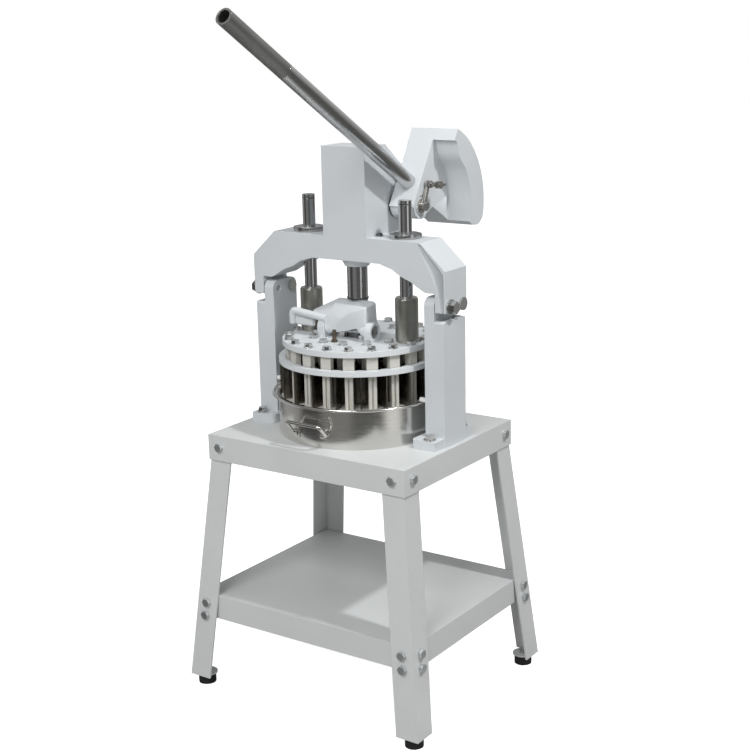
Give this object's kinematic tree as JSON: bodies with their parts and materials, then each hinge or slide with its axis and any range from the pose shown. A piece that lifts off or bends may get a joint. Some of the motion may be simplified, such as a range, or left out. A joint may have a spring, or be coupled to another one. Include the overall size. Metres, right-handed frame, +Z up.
{
  "type": "manual dough divider",
  "caption": "Hand-lever bakery press on a four-legged stand: a toothed ram lowers a round press plate and knife frame into a pan to divide dough.",
  "frame": {"origin": "on the table top, where the pan stands, on the axis of the ram", "axes": "+X to the machine's right, +Y to its back, +Z up along the ram"},
  "size_m": [0.6216, 0.788, 1.5036],
  "materials": {
    "sheet_paint": "light grey satin powder coat on sheet steel",
    "cast_paint": "light grey paint on castings",
    "white_paint": "white grey satin paint on castings",
    "chrome": "ground and hard chromed",
    "knurled_steel": "fine knurl, darkened",
    "raw_steel": "turned, uncoated",
    "zinc_bolts": "zinc plated",
    "dark_steel": "blackened",
    "rusty_stud": "plain threaded steel, browned",
    "stainless": "polished stainless sheet",
    "blade_steel": "stainless blades seen in shade",
    "nylon": "cream nylon",
    "rubber": "black rubber",
    "white_plastic": "white plastic"
  },
  "bodies": {
    "frame": {"table_top": "sheet_paint", "base_plate": "raw_steel", "leg_front_left": "sheet_paint", "leg_front_right": "sheet_paint", "leg_back_left": "sheet_paint", "leg_back_right": "sheet_paint", "shelf": "sheet_paint", "feet": "rubber", "foot_studs": "zinc_bolts", "skirt_bolts": "zinc_bolts", "shelf_bolts": "zinc_bolts", "column_left": "cast_paint", "column_right": "cast_paint", "column_bolts": "zinc_bolts", "pan_hold_buttons": "white_plastic", "yoke": "cast_paint", "oil_plug": "dark_steel", "rear_cover": "cast_paint", "cover_screws": "zinc_bolts", "pivot_pins": "zinc_bolts", "lock_bolts": "zinc_bolts", "guide_bushes": "dark_steel", "shaft_bushes": "dark_steel"},
    "lever": {"lever_casting": "white_paint", "lever_tube": "chrome", "lever_grip": "knurled_steel", "pinion_shaft": "raw_steel", "pinion": "dark_steel", "shaft_keys": "raw_steel", "shaft_end_bolt": "zinc_bolts", "crank_arm": "zinc_bolts", "shaft_cap": "dark_steel"},
    "hand_screw": {"wing_screw": "dark_steel"},
    "head": {"ram": "chrome", "rack": "dark_steel", "ram_foot": "dark_steel", "ram_ring": "rubber", "press_plate": "white_paint", "outer_posts": "nylon", "middle_posts": "nylon", "inner_posts": "nylon", "outer_segments": "nylon", "middle_segments": "nylon", "inner_segments": "nylon", "plate_bolts": "zinc_bolts", "guide_cylinders": "raw_steel", "guide_rods": "chrome", "rod_rings": "dark_steel", "latch_pin": "dark_steel", "latch_stop": "rusty_stud", "hanger_bolts": "zinc_bolts"},
    "knife_frame": {"knife_ring": "white_paint", "knife_hub": "white_paint", "knife_blades": "blade_steel"},
    "latch": {"latch": "white_paint"},
    "pan": {"pan": "stainless", "pan_handles": "stainless", "handle_brackets": "stainless", "handle_rivets": "stainless"}
  },
  "joints": [
    {"name": "lever_turn", "type": "hinge", "parent": "frame", "child": "lever", "pos_m": [0, 0.07, 0.493], "axis": [1, 0, 0], "range_deg": [-50, 66]},
    {"name": "ram_slide", "type": "slide", "parent": "frame", "child": "head", "axis": [0, 0, 1], "range_m": [-0.0519, 0.0394]},
    {"name": "knife_slide", "type": "slide", "parent": "head", "child": "knife_frame", "axis": [0, 0, 1], "range_m": [0, 0.024]},
    {"name": "latch_swing", "type": "hinge", "parent": "head", "child": "latch", "pos_m": [0, -0.0385, 0.2315], "axis": [1, 0, 0], "range_deg": [0, 64]},
    {"name": "hand_screw_turn", "type": "hinge", "parent": "lever", "child": "hand_screw", "pos_m": [0.15, 0.0887, 0.5378], "axis": [1, 0, 0], "range_deg": [-170, 170]},
    {"name": "pan_turn", "type": "hinge", "parent": "frame", "child": "pan", "pos_m": [0, 0, 0], "axis": [0, 0, 1], "range_deg": [-45, 45]}
  ],
  "couplings": [
    {"joint": "ram_slide", "follows": "lever_turn", "m_per_rad": -0.045}
  ]
}
